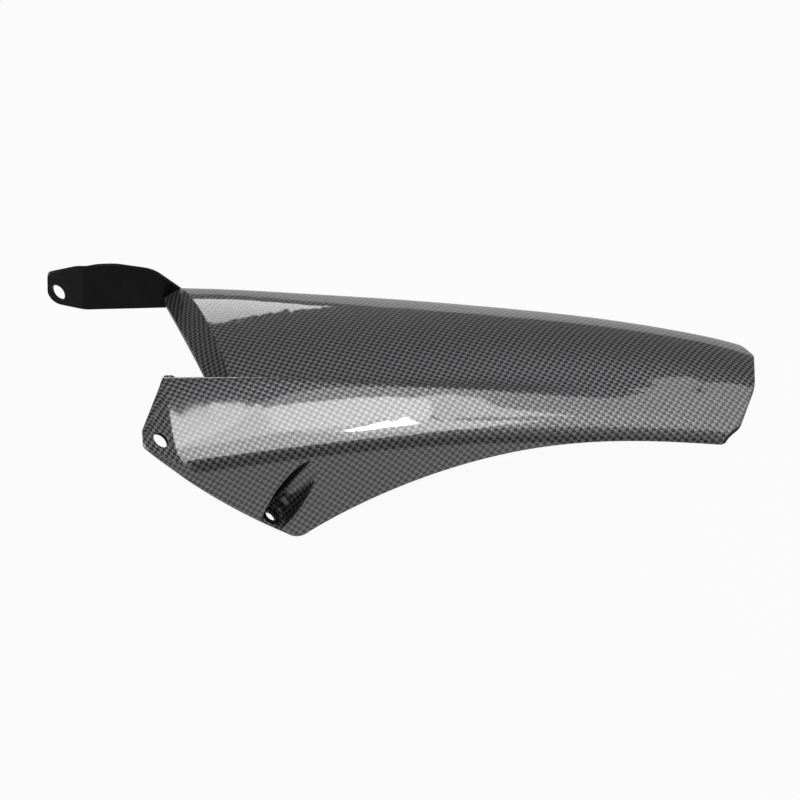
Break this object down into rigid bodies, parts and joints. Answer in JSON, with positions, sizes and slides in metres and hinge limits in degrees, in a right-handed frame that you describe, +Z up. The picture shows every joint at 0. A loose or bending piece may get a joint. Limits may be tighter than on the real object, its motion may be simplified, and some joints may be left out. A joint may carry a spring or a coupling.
{
  "type": "motorcycle rear fender",
  "caption": "One-piece carbon rear wheel fender: arched saddle over the tyre, raised left shelf with a skirt and bolt scoop, and a forward arm on the right.",
  "frame": {"origin": "centre of the front left fixing hole in the laminate", "axes": "+X to the rear along the fender, +Y to the right side of the machine, +Z up from the saddle"},
  "size_m": [0.406, 0.2195, 0.0734],
  "materials": {
    "carbon": "plain-weave carbon cloth under a clear gloss coat"
  },
  "bodies": {
    "root": {"rear_fender": "carbon"}
  },
  "joints": []
}
